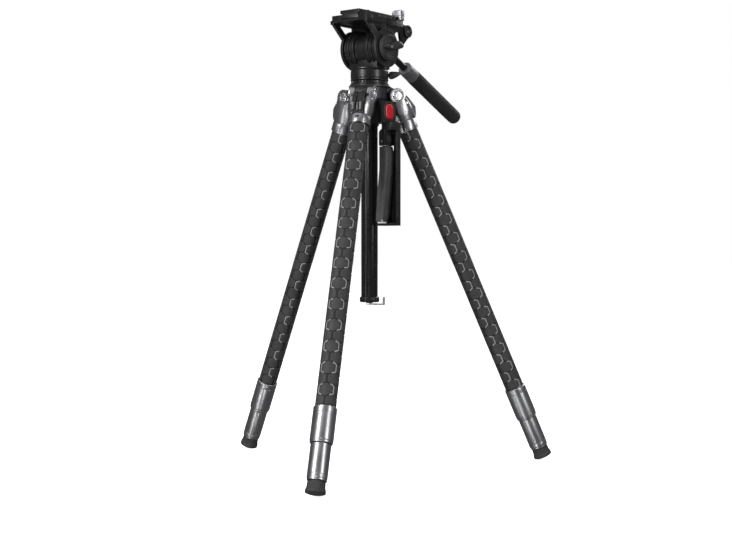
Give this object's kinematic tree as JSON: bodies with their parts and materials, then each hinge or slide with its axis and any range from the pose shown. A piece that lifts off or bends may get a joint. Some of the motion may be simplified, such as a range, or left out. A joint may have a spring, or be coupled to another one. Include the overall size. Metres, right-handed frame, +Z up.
{
  "type": "tripod with fluid head",
  "caption": "Three-legged camera support with telescoping legs, sliding centre column, squeeze grip and a fluid pan and tilt head with handle.",
  "frame": {"origin": "on the floor under the centre column", "axes": "+Z up along the column; the front leg points along -Y"},
  "size_m": [0.5402, 0.5996, 0.7252],
  "materials": {
    "black_paint": "satin black",
    "grey_paint": "satin dark grey",
    "gunmetal": "polished gunmetal",
    "black_tube": "black anodised",
    "wrap_rubber": "moulded honeycomb",
    "foot_rubber": "matt",
    "foam": "fine ribbed foam",
    "silver": "bead blasted",
    "chrome": "polished",
    "steel": "turned",
    "red_plastic": "gloss red",
    "black_plastic": "fine matt"
  },
  "bodies": {
    "spider": {"spider": "grey_paint", "column_bushing": "black_plastic", "grip_housing": "black_paint", "grip_frame": "black_paint", "lever_pin": "steel"},
    "column": {"column_tube": "black_tube", "column_top_plate": "black_paint", "head_stud": "steel", "column_end_knob": "black_tube", "head_base_ring": "black_paint"},
    "hook": {"weight_hook": "silver"},
    "column_clamp": {"column_lock_knob": "black_plastic"},
    "button": {"lock_button": "red_plastic"},
    "lever": {"squeeze_lever": "grey_paint"},
    "pan_base": {"pan_housing": "black_paint", "head_body": "black_paint", "tilt_shaft": "steel"},
    "pan_lever": {"pan_lock_lever": "black_plastic"},
    "tilt_knob": {"tilt_lock_knob": "black_plastic"},
    "drag": {"drag_knob": "black_plastic"},
    "cradle": {"tilt_cradle": "black_paint", "rosette_cap": "black_paint"},
    "plate": {"sliding_plate": "black_paint", "plate_pad": "foot_rubber"},
    "screw": {"camera_screw": "steel"},
    "plate_lever": {"plate_lock_lever": "silver"},
    "handle": {"handle_clamp": "black_paint", "pan_handle_rod": "black_tube", "pan_handle_ring": "gunmetal", "pan_handle_grip": "foam"},
    "front_leg": {"front_leg_yoke": "gunmetal", "front_leg_pivot_bolt": "chrome", "front_leg_outer_tube": "black_tube", "front_leg_grip_wrap": "wrap_rubber", "front_leg_upper_lock": "gunmetal"},
    "front_tab": {"front_leg_angle_tab": "black_paint"},
    "front_middle": {"front_leg_middle_tube": "black_tube", "front_leg_lower_lock": "gunmetal"},
    "front_lower": {"front_leg_inner_tube": "black_tube", "front_leg_foot": "foot_rubber"},
    "right_leg": {"right_leg_yoke": "gunmetal", "right_leg_pivot_bolt": "chrome", "right_leg_outer_tube": "black_tube", "right_leg_grip_wrap": "wrap_rubber", "right_leg_upper_lock": "gunmetal"},
    "right_tab": {"right_leg_angle_tab": "black_paint"},
    "right_middle": {"right_leg_middle_tube": "black_tube", "right_leg_lower_lock": "gunmetal"},
    "right_lower": {"right_leg_inner_tube": "black_tube", "right_leg_foot": "foot_rubber"},
    "left_leg": {"left_leg_yoke": "gunmetal", "left_leg_pivot_bolt": "chrome", "left_leg_outer_tube": "black_tube", "left_leg_grip_wrap": "wrap_rubber", "left_leg_upper_lock": "gunmetal"},
    "left_tab": {"left_leg_angle_tab": "black_paint"},
    "left_middle": {"left_leg_middle_tube": "black_tube", "left_leg_lower_lock": "gunmetal"},
    "left_lower": {"left_leg_inner_tube": "black_tube", "left_leg_foot": "foot_rubber"}
  },
  "joints": [
    {"name": "front_leg_fold", "type": "hinge", "parent": "spider", "child": "front_leg", "pos_m": [0, -0.0406, 0.588], "axis": [-1, 0, 0], "range_deg": [-20, 50]},
    {"name": "front_tab_pull", "type": "hinge", "parent": "front_leg", "child": "front_tab", "pos_m": [0, -0.05852, 0.58548], "axis": [-1, 0, 0], "range_deg": [0, 15], "stiffness_Nm_per_rad": 0.3, "springref_deg": -8.59},
    {"name": "front_middle_slide", "type": "slide", "parent": "front_leg", "child": "front_middle", "axis": [0, -0.4013, -0.9159], "range_m": [0, 0.4]},
    {"name": "front_lower_slide", "type": "slide", "parent": "front_middle", "child": "front_lower", "axis": [0, -0.4013, -0.9159], "range_m": [0, 0.38]},
    {"name": "right_leg_fold", "type": "hinge", "parent": "spider", "child": "right_leg", "pos_m": [0.03516, 0.0203, 0.588], "axis": [0.5, -0.866, 0], "range_deg": [-20, 50]},
    {"name": "right_tab_pull", "type": "hinge", "parent": "right_leg", "child": "right_tab", "pos_m": [0.05068, 0.02926, 0.58548], "axis": [0.5, -0.866, 0], "range_deg": [0, 15], "stiffness_Nm_per_rad": 0.3, "springref_deg": -8.59},
    {"name": "right_middle_slide", "type": "slide", "parent": "right_leg", "child": "right_middle", "axis": [0.3475, 0.2007, -0.9159], "range_m": [0, 0.4]},
    {"name": "right_lower_slide", "type": "slide", "parent": "right_middle", "child": "right_lower", "axis": [0.3475, 0.2007, -0.9159], "range_m": [0, 0.38]},
    {"name": "left_leg_fold", "type": "hinge", "parent": "spider", "child": "left_leg", "pos_m": [-0.03516, 0.0203, 0.588], "axis": [0.5, 0.866, 0], "range_deg": [-20, 50]},
    {"name": "left_tab_pull", "type": "hinge", "parent": "left_leg", "child": "left_tab", "pos_m": [-0.05068, 0.02926, 0.58548], "axis": [0.5, 0.866, 0], "range_deg": [0, 15], "stiffness_Nm_per_rad": 0.3, "springref_deg": -8.59},
    {"name": "left_middle_slide", "type": "slide", "parent": "left_leg", "child": "left_middle", "axis": [-0.3475, 0.2007, -0.9159], "range_m": [0, 0.4]},
    {"name": "left_lower_slide", "type": "slide", "parent": "left_middle", "child": "left_lower", "axis": [-0.3475, 0.2007, -0.9159], "range_m": [0, 0.38]},
    {"name": "column_slide", "type": "slide", "parent": "spider", "child": "column", "axis": [0, 0, 1], "range_m": [0, 0.25]},
    {"name": "hook_swivel", "type": "hinge", "parent": "column", "child": "hook", "pos_m": [0, 0, 0.264], "axis": [0, 0, 1], "continuous": true},
    {"name": "column_clamp_turn", "type": "hinge", "parent": "spider", "child": "column_clamp", "pos_m": [0, 0.03, 0.558], "axis": [0, 1, 0], "range_deg": [-180, 180]},
    {"name": "button_press", "type": "slide", "parent": "spider", "child": "button", "axis": [-0.848, 0.5299, 0], "range_m": [0, 0.0025], "stiffness_N_per_m": 600, "springref_m": -0.002},
    {"name": "lever_squeeze", "type": "hinge", "parent": "spider", "child": "lever", "pos_m": [0.03392, -0.0212, 0.514], "axis": [-0.5299, -0.848, 0], "range_deg": [0, 6.5], "stiffness_Nm_per_rad": 2, "springref_deg": -5.73},
    {"name": "pan", "type": "hinge", "parent": "column", "child": "pan_base", "pos_m": [0, 0, 0.617], "axis": [0, 0, -1], "continuous": true},
    {"name": "pan_lock_turn", "type": "hinge", "parent": "pan_base", "child": "pan_lever", "pos_m": [0.02899, 0.00771, 0.6215], "axis": [0.9664, 0.2571, 0], "range_deg": [-60, 60]},
    {"name": "tilt", "type": "hinge", "parent": "pan_base", "child": "cradle", "pos_m": [0, 0, 0.6626], "axis": [0.9178, -0.3971, 0], "range_deg": [-60, 90]},
    {"name": "tilt_lock_turn", "type": "hinge", "parent": "pan_base", "child": "tilt_knob", "pos_m": [0.03488, -0.01509, 0.6626], "axis": [0.9178, -0.3971, 0], "range_deg": [-45, 45]},
    {"name": "drag_turn", "type": "hinge", "parent": "pan_base", "child": "drag", "pos_m": [-0.03671, 0.01589, 0.6626], "axis": [0.9178, -0.3971, 0], "range_deg": [-135, 135]},
    {"name": "plate_slide", "type": "slide", "parent": "cradle", "child": "plate", "axis": [0.3971, 0.9178, 0], "range_m": [-0.025, 0.025]},
    {"name": "camera_screw_turn", "type": "hinge", "parent": "plate", "child": "screw", "pos_m": [-0.00199, -0.00459, 0.716], "axis": [0, 0, 1], "continuous": true},
    {"name": "plate_lock_turn", "type": "hinge", "parent": "cradle", "child": "plate_lever", "pos_m": [0.04186, 0.01239, 0.713], "axis": [0, 0, 1], "range_deg": [0, 20]},
    {"name": "handle_angle", "type": "hinge", "parent": "cradle", "child": "handle", "pos_m": [-0.01337, 0.06353, 0.6942], "axis": [-0.9178, 0.3971, 0], "range_deg": [-60, 30]}
  ]
}
